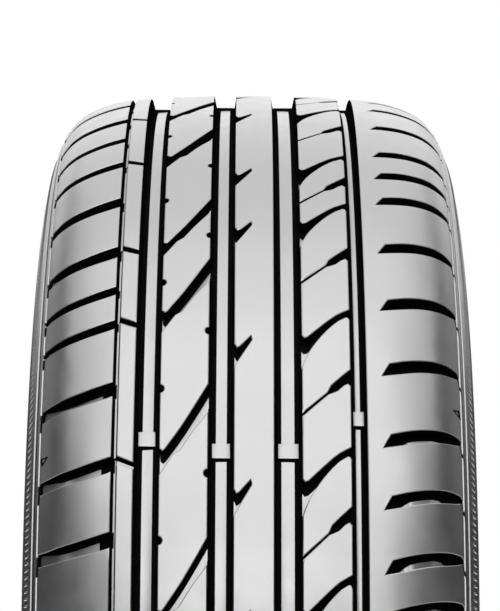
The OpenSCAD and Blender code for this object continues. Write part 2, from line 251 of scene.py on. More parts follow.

# cuts: runs of points across and round, each run drawn smooth, and places from the pitch's mark, in mm and pitches
# wall: how far in the floor starts; shade: how far below the upper side the painted shade goes; pocket: a deeper end
wholly = 9  # a painted shade wider than any cut
cuts = {
    "leftSlot": {
        "at": [(-37.6, -1), (-46.5, -0.37)],
        "depth": "slot",
        "wall": 0.5,
        "shade": [(72.3, wholly), (72.4, 2.2), (93, 2.2), (97, 1), (101, 0.5)],
        "pocket": 72.3,
        "ramp": 0.7,
        "middle": [(-101.2, -11), (-91.6, -9.8), (-83.4, -8), (-72.6, -5.2), (-65.3, -3.2)],
        "widths": {"S": 0.79, "M": 0.9, "L": 1.17},
        "runs": [
            [(-65.3, 0.3), (-66.5, -0.1), (-72.6, -1.9), (-83.4, -4.8), (-91.6, -6.7), (-97, -8), (-101.2, -8.3)],
            [(-101.2, -8.3), (-102, -9.9), (-101.9, -12.6), (-101, -13.9)],
            [(-101, -13.9), (-93.3, -13), (-84, -11.1), (-72.5, -8.6), (-66.6, -6.8), (-65.3, -6.5)],
        ],
    },
    "leftTail": {
        "at": [(-37.6, -1), (-46.5, -0.37)],
        "depth": 1.2,
        "wall": 0.15,
        "shade": wholly,
        "runs": [
            [(-101.85, -13), (-101.95, -19.3)],
            [(-101.95, -19.3), (-101.5, -19.3)],
            [(-101.5, -19.3), (-101.4, -13)],
        ],
    },
    "rightSlot": {
        "at": [(52.9, 0), (52.9, -0.5)],
        "depth": "slot",
        "wall": 0.5,
        "shade": [(69, wholly), (71, 6), (77, 3.6), (90, 3.2), (95, 4.5), (97, wholly)],
        "pocket": 74.2,
        "ramp": 2.6,
        "runs": [
            [(63.1, -8.1), (66.9, -1.1)],
            [(66.9, -1.1), (74, 1), (82, 2.8), (89.6, 3.9), (95.8, 4.2), (100.4, 3.6), (101.3, 2.6)],
            [(101.3, 2.6), (101.7, 1.6), (101.5, 0.4)],
            [(101.5, 0.4), (98, -1.2), (91.5, -2.4), (83, -3.7), (73.9, -5.9), (69, -7), (63.1, -8.1)],
        ],
    },
    "rightTail": {
        "at": [(52.9, 0), (52.9, -0.5)],
        "depth": 1.0,
        "wall": 0.12,
        "shade": wholly,
        "runs": [
            [(100.4, 0.5), (101.35, -3.5), (101.95, -7), (102.2, -9.6)],
            [(102.2, -9.6), (102.5, -9.6)],
            [(102.5, -9.6), (102.3, -7), (101.75, -3.5), (100.9, 0.5)],
        ],
    },
    "slit": {
        "at": [(-37.1, -1)],
        "depth": 5.5,
        "wall": 0.25,
        "shade": wholly,
        "runs": [[(-65.3, 0.6), (-56.7, -3.2), (-54.6, -4.1)], [(-54.6, -5.5), (-56.7, -4.6), (-65.3, -0.9)]],
    },
    "slitBevel": {
        "at": [(-37.1, -1)],
        "depth": 2.7,
        "wall": 0.5,
        "runs": [[(-65.3, -0.5), (-54.6, -5.1)], [(-54.6, -7.2), (-55.7, -6.9), (-64, -3.8), (-65.3, -3.4)]],
    },
    "diagonal": {
        "at": [(0, 0)],
        "depth": 6.5,
        "wall": 0.5,
        "shade": 4.3,
        "middle": [(-45.3, -43.2), (-42, -39), (-37.3, -31.8), (-33.3, -26.5), (-25.6, -14.6), (-20.7, -6.3),
            (-18.7, -3)],
        "widths": {"S": 0.75, "M": 0.9, "L": 1.05},
        "runs": [
            [(-18.7, 3.7), (-20.7, 0), (-25.6, -9), (-33.3, -22.4), (-41, -34)],
            [(-41, -34), (-42.3, -35.2), (-43.6, -34.2), (-45.3, -32.5)],
            [(-45.3, -49.2), (-44.4, -47.7), (-37.3, -36.3)],
            [(-37.3, -36.3), (-34, -34.2)],
            [(-34, -34.2), (-27.8, -24.1), (-21.5, -15.4), (-20.4, -11.9), (-18.7, -8.2)],
        ],
    },
    "leftNotch": {"at": [(-38.3, -0.53)], "depth": 7, "wall": 0.4, "shade": wholly, "disc": (-44.3, 2.4)},
    "rightNotch": {"at": [(-5.1, -0.535)], "depth": 7, "wall": 0.4, "shade": wholly, "disc": (-20.3, 2.4)},
    "hook": {
        "at": [(27.6, 0)],
        "depth": 5.8,
        "wall": 0.4,
        "shade": 4.6,
        "runs": [
            [(-10, -1.9), (-8.5, -4.1), (-7.2, -6.9)],
            [(-7.2, -6.9), (-5.7, -6.2), (-0.3, 0)],
            [(-0.3, 0), (0.2, -1.9), (0, -3)],
            [(0, -3), (-4.6, -11), (-8.5, -17.9), (-10, -20.7)],
        ],
    },
    "curvedCut": {
        "at": [(44.8, 0)],
        "depth": 6.5,
        "wall": 0.5,
        "shade": 5.6,
        "runs": [
            [(49.5, 0.9), (48.2, 0), (41.9, -3.7), (36.7, -8.3), (31.5, -13.4), (27.3, -17.5)],
            [(27.3, -17.5), (25.5, -18.1), (24.5, -16.7), (23, -14.8)],
            [(23, -38), (24.4, -34.9), (27.8, -26.4), (31.4, -20.4), (36.7, -13.2), (42.4, -7.3), (46.1, -5)],
            [(46.1, -5), (47.1, -5.3), (48.1, -7.2), (49.5, -9.6)],
        ],
    },
    "fineCut": {
        "at": [(39.8, -0.4)],
        "depth": 6,
        "wall": 0.28,
        "shade": wholly,
        "runs": [
            [(23, -25.5), (24.6, -24), (36.7, -12.9)],
            [(36.7, -12.9), (38.3, -9.2), (47.6, 0), (49.5, 1.9)],
            [(49.5, -11.3), (48.1, -9.5), (46.5, -7.7), (44.2, -9.1), (41.6, -11.8), (37, -13.9)],
            [(37, -13.9), (25.1, -25.3), (23, -27.3)],
        ],
    },
}
slotFloor = {"angles": [0, 24, 48, 58, 90], "depths": [6.5, 6.5, 4.04, 2.0, 2.0], "pocketDrop": 1.3}
rounding = {"reach": 0.4, "drop": 0.25}  # of the blocks' upper edges
spacing = {"run": 3.0, "clear": 1.7, "grid": 6.5, "jitter": 0.8, "seed": 7, "fromBorder": 1.5}  # of the tile's points


def smoothRun(points, step):  # Catmull-Rom through the points, no longer than a step apart
    points = [np.array(p, float) for p in points]
    if len(points) == 2:
        n = max(1, round(np.linalg.norm(points[1] - points[0]) / step / 1.6))
        return [points[0] + (points[1] - points[0]) * k / n for k in range(n)] + [points[1]]
    ends = [2 * points[0] - points[1]] + points + [2 * points[-1] - points[-2]]
    out = []
    for a, b, c, d in zip(ends, ends[1:], ends[2:], ends[3:]):
        n = max(1, round(np.linalg.norm(c - b) / step))
        for k in range(n):
            u = k / n
            bend, twist = 2 * a - 5 * b + 4 * c - d, 3 * b - a - 3 * c + d
            out.append(0.5 * (2 * b + (c - a) * u + bend * u * u + twist * u ** 3))
    return out + [points[-1]]


def cutOutline(cut, shift, kind):  # closed, as [along, round], anticlockwise
    if "disc" in cut:
        w, r = cut["disc"]
        outline = np.array([(w + r * math.cos(a), r * math.sin(a)) for a in np.arange(12) * math.pi / 6])
    else:
        outline = []
        for run in cut["runs"]:
            for p in smoothRun(run, spacing["run"]):
                if not outline or np.linalg.norm(p - outline[-1]) > 0.05:
                    outline.append(p)
        if np.linalg.norm(outline[0] - outline[-1]) < 0.05:
            outline.pop()
        outline = np.array(outline)
    if "middle" in cut:  # narrower in a short pitch than in a long one
        middle = np.interp(outline[:, 0], *zip(*cut["middle"]))
        outline[:, 1] = middle + (outline[:, 1] - middle) * cut["widths"][kind]
    outline = np.column_stack([along(outline[:, 0]), outline[:, 1] + shift])
    nxt = np.roll(outline, -1, axis=0)
    if np.sum(outline[:, 0] * nxt[:, 1] - nxt[:, 0] * outline[:, 1]) < 0:
        outline = outline[::-1]
    return outline


def inset(outline, distance):  # a parallel outline, inwards for a positive distance
    ahead = np.roll(outline, -1, axis=0) - outline
    ahead /= np.linalg.norm(ahead, axis=1)[:, None]
    normal = np.column_stack([-ahead[:, 1], ahead[:, 0]])
    before = np.roll(normal, 1, axis=0)
    mitre = normal + before
    size = np.maximum(np.sum(mitre * normal, axis=1), 0.5)
    return outline + mitre / size[:, None] * distance


def insideBy(points, outline):  # distance to the outline, positive inside it
    best = np.full(len(points), 1e9)
    inside = np.zeros(len(points), bool)
    for a, b in zip(outline, np.roll(outline, -1, axis=0)):
        d = b - a
        u = np.clip(((points - a) @ d) / (d @ d), 0, 1)
        best = np.minimum(best, np.linalg.norm(points - a - u[:, None] * d, axis=1))
        crossing = (a[1] > points[:, 1]) != (b[1] > points[:, 1])
        with np.errstate(divide="ignore", invalid="ignore"):
            at = a[0] + (points[:, 1] - a[1]) * d[0] / d[1]
        inside ^= crossing & (points[:, 0] < at)
    return np.where(inside, best, -best)


def cutDepth(cut, s):
    if cut["depth"] != "slot":
        return np.full(len(s), float(cut["depth"]))
    floor = np.interp(angleAt(s), slotFloor["angles"], slotFloor["depths"])  # it rises outwards over the shoulder
    step = float(along(cut["pocket"]))
    return floor + np.interp(np.abs(s), [step, step + cut["ramp"]], [slotFloor["pocketDrop"], 0])


def shadeDepth(cut, s):  # how far the painted shade reaches below a cut's upper side
    if not isinstance(cut["shade"], list):
        return np.full(len(s), float(cut["shade"]))
    places, sizes = zip(*cut["shade"])
    return np.interp(np.abs(s), along(np.array(places)), sizes)


def shaded(points, cut, outline):  # inside a cut, next to its upper side, where shade is painted
    if "shade" not in cut:
        return np.zeros(len(points), bool)
    above = np.column_stack([points[:, 0], points[:, 1] + shadeDepth(cut, points[:, 0])])
    return (insideBy(points, outline) > 0) & (insideBy(above, outline) < 0)


def shadeLines(cut, outline):  # where the painted shade on a cut's floor ends
    if cut.get("shade", wholly) == wholly:
        return []
    chains = [[]]
    lower = np.column_stack([outline[:, 0], outline[:, 1] - shadeDepth(cut, outline[:, 0])])
    for p, deep in zip(lower, insideBy(lower, outline)):
        if deep > cut["wall"] + 0.2:
            chains[-1].append(p)
        elif chains[-1]:
            chains.append([])
    if "pocket" in cut:
        step = float(along(cut["pocket"]))
        for s in (step, step + cut["ramp"]):
            turns = np.linspace(outline[:, 1].min(), outline[:, 1].max(), 120)
            line = np.column_stack([np.full(len(turns), np.sign(outline[0, 0]) * s), turns])
            line = line[insideBy(line, outline) > cut["wall"] + 0.05]
            chains.append([line[0], line[len(line) // 2], line[-1]])
    return [chain for chain in chains if len(chain) > 1]


def heights(points, outlines):
    s = points[:, 0]
    down = np.zeros(len(points))
    for g in grooves:
        first, last = along(g["edges"])
        x, d = zip(*g["profile"])
        down = np.maximum(down, np.interp((last - first) / 2 - np.abs(s - (first + last) / 2), x, d))
    up = np.zeros(len(points))
    for step in steps:
        centre = step["side"] * alongAngle(step["angle"])
        level = np.interp(np.abs(s - centre), [step["half"] - stepRamp, step["half"]], [step["height"], 0])
        up = np.where(np.abs(level) > np.abs(up), level, up)
    for cut, outline in outlines:
        near = (s > outline[:, 0].min() - 1) & (s < outline[:, 0].max() + 1)
        d = insideBy(points[near], outline)
        floor = cutDepth(cut, s[near])
        drop = min(rounding["drop"], cut["wall"])
        depth = np.where(d < 0, drop * np.clip(1 + d / rounding["reach"], 0, 1),
            drop + (floor - drop) * np.clip(d / (cut["wall"] - 0.02), 0, 1))
        down[near] = np.maximum(down[near], depth)
    return np.where(down > 0.3, -down, up - down)


def sectionLines():  # where the grooves and steps put an edge along the section
    lines = set()
    for g in grooves:
        first, last = along(g["edges"])
        for x, _ in g["profile"]:
            lines |= {round(float(first + x), 5), round(float(last - x), 5)}
    for step in steps:
        centre = step["side"] * alongAngle(step["angle"])
        for x in (step["half"] - stepRamp, step["half"]):
            lines |= {round(centre - x, 5), round(centre + x, 5)}
    return lines


def borderStops(lines, ends):  # along the tile's edge, with no wide gap
    turns = {round(float(x), 5) for x in edgeAcross if abs(x) < treadEnd - 1}
    stops = sorted(lines | turns | set(ends))
    border = [stops[0]]
    for a, b in zip(stops, stops[1:]):
        n = math.ceil((b - a) / spacing["grid"])
        border += [a + (b - a) * k / n for k in range(1, n)] + [b]
    return border


def loosePoints(lines, outlines, length, rows):  # a jittered grid, clear of every line
    random = np.random.default_rng(spacing["seed"])
    grid = np.array([(s, tileEdge(s) - length * (k + 0.5) / (rows + 1))
        for s in np.arange(-treadEnd + 4, treadEnd - 3, spacing["grid"]) for k in range(rows + 1)])
    grid += random.uniform(-spacing["jitter"], spacing["jitter"], grid.shape)
    keep = np.ones(len(grid), bool)
    for s in lines:
        keep &= np.abs(grid[:, 0] - s) > spacing["clear"]
    for cut, outline in outlines:
        keep &= np.abs(insideBy(grid, outline)) > spacing["clear"]
    above = tileEdge(grid[:, 0]) - grid[:, 1]
    return grid[keep & (above > spacing["fromBorder"]) & (above < length - spacing["fromBorder"])]


def inShade(middles, outlines):  # faces on the floors of cuts and grooves that get painted shade
    dark = np.zeros(len(middles), bool)
    for cut, outline in outlines:
        dark |= shaded(middles, cut, outline)
    for g in grooves:
        first, last = along(g["edges"])
        deep = (last - first) / 2 - np.abs(middles[:, 0] - (first + last) / 2)
        dark |= (deep > 0) & (deep < g.get("shade", 0))
    return dark


def addSides(verts, polygons, length, rows):  # plain strips from the tread's ends round to the cavity
    rest = [float(x) for x in halfAlong[halfAlong > treadEnd + 1.5]]
    side = [round(treadEnd, 5)]
    side += [x for k, x in enumerate(rest) if x > halfAlong[outerCount - 1] - 0.01 or k % 3 == 0]
    inner = (edgeRound[0] + edgeRound[-1]) / 2
    for sign, edgeHere in ((1, edgeRound[-1]), (-1, edgeRound[0])):
        start = len(verts)
        for x in side:
            top = edgeHere + (inner - edgeHere) * (x - side[0]) / (side[-1] - side[0])
            verts += [((halfLength + sign * x) * mm, (top - length * k / rows) * mm, 0.0) for k in range(rows + 1)]
        for i in range(len(side) - 1):
            for k in range(rows):
                a, b = start + i * (rows + 1) + k, start + (i + 1) * (rows + 1) + k
                quad = [a + 1, b + 1, b, a]
                polygons.append(quad if sign > 0 else quad[::-1])


def makeTile(kind):  # one pitch laid flat: along the section, round the tyre, height
    length = pitchLength(kind)
    rows = pitch["rows"][kind]
    outlines = [(cut, cutOutline(cut, a + b * length, kind)) for cut in cuts.values() for a, b in cut["at"]]
    lines = sectionLines()
    ends = [-round(treadEnd, 5), round(treadEnd, 5)]
    border = borderStops(lines, ends)
    points, edges = [], []

    def addLine(chain, closed=False):
        start = len(points)
        points.extend((float(p[0]), float(p[1])) for p in chain)
        edges.extend((start + k, start + k + 1) for k in range(len(chain) - 1))
        if closed:
            edges.append((start + len(chain) - 1, start))

    for low in (0, length):
        addLine([(s, tileEdge(s) - low) for s in border])
    for s in sorted(lines | set(ends)):
        n = rows if s in ends or abs(s) > along(58) else max(4, rows // 2)
        addLine([(s, tileEdge(s) - length * k / n) for k in range(n + 1)])
    for cut, outline in outlines:
        addLine(outline, True)
        addLine(inset(outline, -rounding["reach"]), True)
        addLine(inset(outline, cut["wall"]), True)
        for chain in shadeLines(cut, outline):
            addLine(chain)
    points.extend(map(tuple, loosePoints(lines, outlines, length, rows)))
    flat, _, faces, _, _, _ = geometry.delaunay_2d_cdt([Vector(p) for p in points], edges, [], 1, 1e-5, False)
    flat = np.array([(v.x, v.y) for v in flat])
    height = heights(flat, outlines)
    verts = [((halfLength + p[0]) * mm, p[1] * mm, h * mm) for p, h in zip(flat, height)]
    polygons, tops, walls, middles = [], [], [], []
    for face in faces:
        a, b, c = (flat[i] for i in face[:3])
        middle = (a + b + c) / 3
        if not 0.001 < tileEdge(middle[0]) - middle[1] < length - 0.001:  # outside the tile
            continue
        turned = (b[0] - a[0]) * (c[1] - a[1]) - (b[1] - a[1]) * (c[0] - a[0]) < 0
        polygons.append(list(face)[::-1] if turned else list(face))
        tops.append(bool(min(height[i] for i in face) > -0.001))
        corners = [Vector((flat[i][0], flat[i][1], height[i])) for i in face[:3]]
        normal = (corners[1] - corners[0]).cross(corners[2] - corners[0]).normalized()
        walls.append(abs(normal.z) < pitch["wallSlope"] and min(c.z for c in corners) < -0.5)
        middles.append(middle)
    # painted shade: the steep walls and the floors next to the cuts' upper sides and the grooves' edges get the
    # near-black rubber
    dark = ((np.array(walls) | inShade(np.array(middles), outlines)) & ~np.array(tops)).tolist()
    addSides(verts, polygons, length, rows)
    mesh = bpy.data.meshes.new("tile" + kind)
    mesh.from_pydata(verts, [], polygons)
    rest = len(polygons) - len(tops)
    mesh.attributes.new("top", "BOOLEAN", "FACE").data.foreach_set("value", tops + [True] * rest)
    # the wall attribute marks the faces that get painted shade
    mesh.attributes.new("wall", "BOOLEAN", "FACE").data.foreach_set("value", dark + [False] * rest)
    tile = bpy.data.objects.new("tile" + kind, mesh)
    bpy.context.collection.objects.link(tile)
    print("tile", kind, len(verts), "points", sum(len(p) - 2 for p in polygons), "triangles")
    return tile


def addInput(tree, name, kind, value=None):
    socket = tree.interface.new_socket(name=name, in_out="INPUT", socket_type=kind)
    if value is not None:
        socket.default_value = value
    return socket.identifier


def newTree(name):
    tree = bpy.data.node_groups.new(name, "GeometryNodeTree")
    tree.interface.new_socket(name="Geometry", in_out="INPUT", socket_type="NodeSocketGeometry")
    tree.interface.new_socket(name="Geometry", in_out="OUTPUT", socket_type="NodeSocketGeometry")
    return tree


def addNode(tree, kind, links=(), **settings):  # links: socket index or name, and what feeds it
    node = tree.nodes.new(kind)
    for key, value in settings.items():
        setattr(node, key, value)
    for key, source in links:
        if isinstance(source, bpy.types.NodeSocket):
            tree.links.new(source, node.inputs[key])
        else:
            node.inputs[key].default_value = source
    return node


def asMesh(source, name, values, tree):  # runs a tree on an object and keeps its result as a plain mesh
    modifier = source.modifiers.new("nodes", "NODES")
    modifier.node_group = tree
    for key, value in values:
        modifier[key] = value
    bpy.context.view_layer.update()
    ready = source.evaluated_get(bpy.context.evaluated_depsgraph_get())
    mesh = bpy.data.meshes.new_from_object(ready)
    source.modifiers.clear()
    mesh.name = name
    piece = bpy.data.objects.new(name, mesh)
    bpy.context.collection.objects.link(piece)
    return piece


def coat(tree, shape, material, paintedShadeMaterial):  # the last nodes: the rubber, and painted shade, the near-black rubber, on the faces marked wall
    coated = addNode(tree, "GeometryNodeSetMaterial", [("Geometry", shape), ("Material", material)])
    isPaintedShade = addNode(tree, "GeometryNodeInputNamedAttribute", [("Name", "wall")], data_type="BOOLEAN")
    shadePainted = addNode(tree, "GeometryNodeSetMaterial", [("Geometry", coated.outputs[0]),
        ("Selection", isPaintedShade.outputs["Attribute"]), ("Material", paintedShadeMaterial)])
    addNode(tree, "NodeGroupOutput", [(0, shadePainted.outputs[0])])


def treadTree(material, paintedShadeMaterial):  # lays the tiles round the tyre, bends them along the section and joins them
    tree = newTree("treadRound")
    keys = [addInput(tree, "Section", "NodeSocketObject")]
    keys += [addInput(tree, name, "NodeSocketObject") for name in ("Short tile", "Medium tile", "Long tile")]
    keys += [addInput(tree, name, "NodeSocketFloat", 0.0) for name in ("Outer radius", "Join distance")]
    source = addNode(tree, "NodeGroupInput")
    kindHere = addNode(tree, "GeometryNodeInputNamedAttribute", [("Name", "kind")], data_type="INT")
    joined = addNode(tree, "GeometryNodeJoinGeometry")
    for k, name in enumerate(("Short tile", "Medium tile", "Long tile")):
        tile = addNode(tree, "GeometryNodeObjectInfo", [("Object", source.outputs[name]), ("As Instance", True)])
        same = addNode(tree, "FunctionNodeCompare", data_type="INT", operation="EQUAL")
        tree.links.new(kindHere.outputs["Attribute"], same.inputs[2])
        same.inputs[3].default_value = k
        put = addNode(tree, "GeometryNodeInstanceOnPoints", [("Points", source.outputs["Geometry"]),
            ("Selection", same.outputs["Result"]), ("Instance", tile.outputs["Geometry"])])
        tree.links.new(put.outputs["Instances"], joined.inputs[0])
    real = addNode(tree, "GeometryNodeRealizeInstances", [("Geometry", joined.outputs[0])])
    place = addNode(tree, "ShaderNodeSeparateXYZ", [(0, addNode(tree, "GeometryNodeInputPosition").outputs[0])])
    loop = addNode(tree, "GeometryNodeObjectInfo", [("Object", source.outputs["Section"])])
    onLoop = addNode(tree, "GeometryNodeSampleCurve",
        [("Curves", loop.outputs["Geometry"]), ("Length", place.outputs[0])], mode="LENGTH")
    outwards = addNode(tree, "ShaderNodeVectorMath", [(0, (1.0, 0.0, 0.0)), (1, onLoop.outputs["Tangent"])],
        operation="CROSS_PRODUCT")
    lifted = addNode(tree, "ShaderNodeVectorMath", [(0, outwards.outputs[0])], operation="SCALE")
    tree.links.new(place.outputs[2], lifted.inputs["Scale"])
    raisedPlace = addNode(tree, "ShaderNodeVectorMath", [(0, onLoop.outputs["Position"]), (1, lifted.outputs[0])],
        operation="ADD")
    flat = addNode(tree, "ShaderNodeSeparateXYZ", [(0, raisedPlace.outputs[0])])
    turn = addNode(tree, "ShaderNodeMath", [(0, place.outputs[1]), (1, source.outputs["Outer radius"])],
        operation="DIVIDE")
    parts = []
    for operation in ("COSINE", "SINE"):
        wave = addNode(tree, "ShaderNodeMath", [(0, turn.outputs[0])], operation=operation)
        parts.append(addNode(tree, "ShaderNodeMath", [(0, flat.outputs[2]), (1, wave.outputs[0])],
            operation="MULTIPLY"))
    final = addNode(tree, "ShaderNodeCombineXYZ",
        [(0, parts[0].outputs[0]), (1, flat.outputs[1]), (2, parts[1].outputs[0])])
    bent = addNode(tree, "GeometryNodeSetPosition", [("Geometry", real.outputs[0]), ("Position", final.outputs[0])])
    merged = addNode(tree, "GeometryNodeMergeByDistance", [("Geometry", bent.outputs[0]),
        ("Distance", source.outputs["Join distance"])])
    coat(tree, merged.outputs[0], material, paintedShadeMaterial)
    return tree, keys


def aroundTree(material, paintedShadeMaterial):  # copies a piece at equal angles round the wheel's axis
    tree = newTree("aroundWheel")
    keys = [addInput(tree, "Piece", "NodeSocketObject"), addInput(tree, "Count", "NodeSocketInt", 6),
        addInput(tree, "First angle", "NodeSocketFloat", 0.0)]
    source = addNode(tree, "NodeGroupInput")
    spots = addNode(tree, "GeometryNodePoints", [("Count", source.outputs["Count"])])
    index = addNode(tree, "GeometryNodeInputIndex")
    step = addNode(tree, "ShaderNodeMath", [(0, 2 * math.pi), (1, source.outputs["Count"])], operation="DIVIDE")
    turned = addNode(tree, "ShaderNodeMath",
        [(0, index.outputs[0]), (1, step.outputs[0]), (2, source.outputs["First angle"])],
        operation="MULTIPLY_ADD")
    back = addNode(tree, "ShaderNodeMath", [(0, turned.outputs[0]), (1, -1.0)], operation="MULTIPLY")
    spin = addNode(tree, "ShaderNodeCombineXYZ", [(1, back.outputs[0])])
    piece = addNode(tree, "GeometryNodeObjectInfo", [("Object", source.outputs["Piece"]), ("As Instance", True)])
    put = addNode(tree, "GeometryNodeInstanceOnPoints",
        [("Points", spots.outputs[0]), ("Instance", piece.outputs["Geometry"])])
    tree.links.new(spin.outputs[0], put.inputs["Rotation"])
    real = addNode(tree, "GeometryNodeRealizeInstances", [("Geometry", put.outputs[0])])
    coat(tree, real.outputs[0], material, paintedShadeMaterial)
    return tree, keys


# the rubber, and painted shade: a near-black rubber without gloss on the groove and cut walls and the floors beside
# them
rubber = {
    "dark": (0.006, 0.006, 0.0063, 1),
    "light": (0.010, 0.010, 0.0105, 1),
    "smooth": 0.32,
    "rough": 0.37,
    "specular": 0.55,
    "clouds": 90.0,
    "cloudDetail": 3.0,
    "cloudRange": (0.3, 0.7),
    "grain": 1500.0,
    "grainDetail": 2.0,
    "bump": 0.05,
    "bumpHeight": 0.0004,
}
paintedShadeValues = dict(rubber, dark=(0.0003, 0.0003, 0.0003, 1), light=(0.0008, 0.0008, 0.0008, 1),
    smooth=0.8, rough=0.9, specular=0.0)


def rubberMaterial(name, values):
    material = bpy.data.materials.new(name)
    material.use_nodes = True
    tree = material.node_tree
    shader = tree.nodes["Principled BSDF"]
    where = tree.nodes.new("ShaderNodeTexCoord").outputs["Object"]

    def noise(scale, detail):
        links = [("Vector", where), ("Scale", scale), ("Detail", detail)]
        return addNode(tree, "ShaderNodeTexNoise", links).outputs["Fac"]

    clouds = noise(values["clouds"], values["cloudDetail"])
    grain = noise(values["grain"], values["grainDetail"])
    tone = addNode(tree, "ShaderNodeMix", [("Factor", clouds)], data_type="RGBA")
    tone.inputs[6].default_value, tone.inputs[7].default_value = values["dark"], values["light"]
    least, most = values["cloudRange"]
    gloss = addNode(tree, "ShaderNodeMapRange", [("Value", clouds), ("From Min", least), ("From Max", most),
        ("To Min", values["smooth"]), ("To Max", values["rough"])])
    bump = addNode(tree, "ShaderNodeBump",
        [("Strength", values["bump"]), ("Distance", values["bumpHeight"]), ("Height", grain)])
    tree.links.new(tone.outputs[2], shader.inputs["Base Color"])
    tree.links.new(gloss.outputs[0], shader.inputs["Roughness"])
    tree.links.new(bump.outputs[0], shader.inputs["Normal"])
    shader.inputs["Specular IOR Level"].default_value = values["specular"]
    return material


blackRubber = rubberMaterial("blackRubber", rubber)
paintedShadeRubber = rubberMaterial("paintedShadeRubber", paintedShadeValues)
tiles = {kind: makeTile(kind) for kind in "SML"}
turn = math.radians(pitch["start"])
marks = []
for kind in pitch["order"]:
    marks.append((0.0, turn * section["outerRadius"] * mm, 0.0))
    turn -= pitchLength(kind) / section["outerRadius"]
markMesh = bpy.data.meshes.new("pitchMarks")
markMesh.from_pydata(marks, [], [])
kinds = ["SML".index(kind) for kind in pitch["order"]]
markMesh.attributes.new("kind", "INT", "POINT").data.foreach_set("value", kinds)
pitchMarks = bpy.data.objects.new("pitchMarks", markMesh)
bpy.context.collection.objects.link(pitchMarks)
tree, keys = treadTree(blackRubber, paintedShadeRubber)
tyreBody = asMesh(pitchMarks, "tyreBody", zip(keys, [sectionCurve, tiles["S"], tiles["M"], tiles["L"],
    section["outerRadius"] * mm, pitch["join"]]), tree)


def markSharp(mesh, limit):  # where faces meet at an angle, and round the top of every block
    sizes = np.empty(len(mesh.polygons), int)
    normals = np.empty(3 * len(mesh.polygons))
    edges = np.empty(len(mesh.loops), int)
    top = np.empty(len(mesh.polygons), bool)
    mesh.polygons.foreach_get("loop_total", sizes)
    mesh.polygons.foreach_get("normal", normals)
    mesh.loops.foreach_get("edge_index", edges)
    mesh.attributes["top"].data.foreach_get("value", top)
    order = np.argsort(edges, kind="stable")
    faces = np.repeat(np.arange(len(sizes)), sizes)[order]
    one, two, edges = faces[0::2], faces[1::2], edges[order][0::2]
    normals = normals.reshape(-1, 3)
    sharp = np.zeros(len(mesh.edges), bool)
    sharp[edges] = (np.sum(normals[one] * normals[two], axis=1) < math.cos(limit)) | (top[one] != top[two])
    mesh.shade_smooth()
    mesh.attributes.new("sharp_edge", "BOOLEAN", "EDGE").data.foreach_set("value", sharp)
    for name in ("top", "wall"):
        mesh.attributes.remove(mesh.attributes[name])


sharpAngle = {"body": 33, "small": 30}
markSharp(tyreBody.data, math.radians(sharpAngle["body"]))
check = bmesh.new()
check.from_mesh(tyreBody.data)
print("tyre body:", sum(len(f.verts) - 2 for f in check.faces), "triangles,",
    sum(1 for e in check.edges if len(e.link_faces) != 2), "open edges, volume",
    round(check.calc_volume(signed=True) * 1e6), "ml")
check.free()

# wear bars across the grooves' floors, six sets
wearBars = {
    "sets": 6,
    "angle": 17.7,
    "turns": [1.2, 0, 0, 3.25],
    "insets": [2.05, 1.8, 1.8, 1.1],
    "height": 1.6,
    "root": 1.4,
    "length": 7.5,
    "chamfer": 0.2,
    "flank": 0.85,
    "ramp": 1.2,
    "upperRamp": 0.2,
    "paintedShadeSlope": 0.4,
}


def barSet():
    bm = bmesh.new()
    crownBase = section["outerRadius"] - section["crownRadius"]
    tall = wearBars["height"] + wearBars["root"]  # the root stands in the groove's floor
    slope = tall / wearBars["height"]
    for g, turned, narrower in zip(grooves[1:], wearBars["turns"], wearBars["insets"]):
        first, last = g["edges"]
        middle, wide = (first + last) / 2, last - first - 2 * narrower
        top = crownBase + math.sqrt(section["crownRadius"] ** 2 - middle ** 2) - grooveDepth + wearBars["height"]
        box = bmesh.ops.create_cube(bm, size=1.0)["verts"]
        bmesh.ops.scale(bm, verts=box, vec=(tall * mm, wide * mm, wearBars["length"] * mm))
        bmesh.ops.translate(bm, verts=box, vec=((top - tall / 2) * mm, middle * mm, 0))
        for v in box:  # it widens downwards, with a ramp at its lower end
            if v.co.x < (top - 1) * mm:
                v.co.y += math.copysign(wearBars["flank"] * slope * mm, v.co.y - middle * mm)
                v.co.z += (-wearBars["ramp"] if v.co.z < 0 else wearBars["upperRamp"]) * slope * mm
        edges = [e for e in bm.edges if e.verts[0] in box and all(v.co.x > (top - 0.1) * mm for v in e.verts)]
        made = bmesh.ops.bevel(bm, geom=edges, offset=wearBars["chamfer"] * mm, segments=2, affect="EDGES",
            profile=0.5)
        verts = {v for v in box if v.is_valid} | set(made["verts"])
        turn = Matrix.Rotation(-math.radians(turned), 3, "Y")
        bmesh.ops.rotate(bm, verts=list(verts), cent=(0, 0, 0), matrix=turn)
    bm.normal_update()
    # painted shade: faces turned back round the tyre or to either side get the near-black rubber
    slope = wearBars["paintedShadeSlope"]
    dark = [f.normal.z < -slope or abs(f.normal.y) > slope for f in bm.faces]
    return fromBmesh(bm, "barSet", dark)


def fromBmesh(bm, name, dark=None):  # dark: which faces get painted shade, the near-black rubber
    mesh = bpy.data.meshes.new(name)
    bm.to_mesh(mesh)
    bm.free()
    if dark:
        mesh.attributes.new("wall", "BOOLEAN", "FACE").data.foreach_set("value", dark)
    piece = bpy.data.objects.new(name, mesh)
    bpy.context.collection.objects.link(piece)
    return piece


spot = bpy.data.objects.new("spot", bpy.data.meshes.new("spot"))
bpy.context.collection.objects.link(spot)
ringTree, ringKeys = aroundTree(blackRubber, paintedShadeRubber)


def copiesRound(piece, name, count, first):
    made = asMesh(spot, name, zip(ringKeys, [piece, count, math.radians(first)]), ringTree)
    made.data.shade_smooth()
    made.data.set_sharp_from_angle(angle=math.radians(sharpAngle["small"]))
    bpy.data.objects.remove(piece)
    return made


grooveBars = copiesRound(barSet(), "wearBars", wearBars["sets"], wearBars["angle"])
print("wear bars:", len(grooveBars.data.polygons), "faces")

